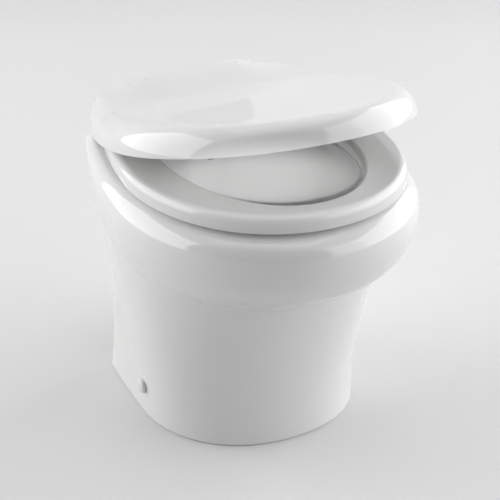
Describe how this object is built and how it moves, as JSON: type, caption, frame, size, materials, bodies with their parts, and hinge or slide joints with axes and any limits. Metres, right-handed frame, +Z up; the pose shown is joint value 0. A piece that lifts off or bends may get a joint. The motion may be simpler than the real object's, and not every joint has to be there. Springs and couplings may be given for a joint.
{
  "type": "electric macerator toilet",
  "caption": "Low pedestal toilet in white china with a soft-close seat and a wrap-over lid standing ajar, flushed by a macerator pump inside its foot.",
  "frame": {"origin": "centre of the overall box at floor level, z = 0 is the floor that the foot stands on", "axes": "+Z up, -Y towards the front of the bowl, +X to the right of someone facing the toilet's front from -Y looking along +Y"},
  "size_m": [0.3856, 0.4476, 0.4859],
  "materials": {
    "glazed_china": "glossy white glaze",
    "gloss_seat": "polished white moulding",
    "hinge_chrome": "polished",
    "zinc_steel": "zinc plated",
    "black_rubber": "matt",
    "soft_white": "soft satin",
    "dark_nylon": "moulded satin",
    "white_pipe": "smooth",
    "motor_paint": "dark satin paint",
    "magnet": "matt ferrite",
    "copper": "wound copper",
    "brass": "machined"
  },
  "bodies": {
    "pedestal": {"china_bowl": "glazed_china", "hinge_post_left": "hinge_chrome", "hinge_post_right": "hinge_chrome", "hinge_pin_left": "zinc_steel", "hinge_pin_right": "zinc_steel", "hinge_stud_left": "zinc_steel", "hinge_stud_right": "zinc_steel", "side_screw_left": "zinc_steel", "side_screw_right": "zinc_steel", "floor_bolt_left": "zinc_steel", "floor_bolt_right": "zinc_steel", "front_bearing": "zinc_steel", "rear_bearing": "zinc_steel", "motor_strap": "zinc_steel", "plunger_guide": "zinc_steel", "plunger_spring": "zinc_steel", "hinge_washer_left": "black_rubber", "hinge_washer_right": "black_rubber", "outlet_gasket": "black_rubber", "shaft_seal": "black_rubber", "duckbill_valve": "black_rubber", "flush_hose": "black_rubber", "screw_cap_left": "soft_white", "screw_cap_right": "soft_white", "rim_nozzle": "soft_white", "hinge_nut_left": "dark_nylon", "hinge_nut_right": "dark_nylon", "floor_bracket_left": "dark_nylon", "floor_bracket_right": "dark_nylon", "macerator_housing": "dark_nylon", "pump_back_plate": "dark_nylon", "terminal_box": "dark_nylon", "pump_saddle": "dark_nylon", "solenoid_coil": "dark_nylon", "discharge_pipe": "white_pipe", "discharge_union_nut": "white_pipe", "water_valve_body": "white_pipe", "motor_case": "motor_paint", "motor_end_cap": "motor_paint", "motor_magnet_left": "magnet", "motor_magnet_right": "magnet", "inlet_fitting": "brass"},
    "seat": {"seat_ring": "gloss_seat", "seat_bumper_nose_left": "soft_white", "seat_bumper_nose_right": "soft_white", "seat_bumper_side_left": "soft_white", "seat_bumper_side_right": "soft_white", "hinge_damper_left": "dark_nylon", "hinge_damper_right": "dark_nylon"},
    "cover": {"lid": "gloss_seat", "lid_bumper_left": "soft_white", "lid_bumper_right": "soft_white"},
    "spindle": {"motor_shaft": "zinc_steel", "motor_rotor": "copper", "commutator": "copper", "impeller": "brass", "chopper_blade": "zinc_steel", "blade_nut": "zinc_steel"},
    "plunger": {"valve_plunger": "zinc_steel"}
  },
  "joints": [
    {"name": "seat_hinge", "type": "hinge", "parent": "pedestal", "child": "seat", "pos_m": [0, 0.187, 0.381], "axis": [-1, 0, 0], "range_deg": [0, 42]},
    {"name": "lid_hinge", "type": "hinge", "parent": "seat", "child": "cover", "pos_m": [0, 0.187, 0.381], "axis": [-1, 0, 0], "range_deg": [-15.75, 82.25]},
    {"name": "motor_spin", "type": "hinge", "parent": "pedestal", "child": "spindle", "pos_m": [0, 0.0286, 0.102], "axis": [0, 1, 0], "continuous": true},
    {"name": "valve_lift", "type": "slide", "parent": "pedestal", "child": "plunger", "axis": [0, 0, 1], "range_m": [0, 0.003], "stiffness_N_per_m": 120, "springref_m": -0.004, "deforming": ["plunger_spring"]}
  ]
}
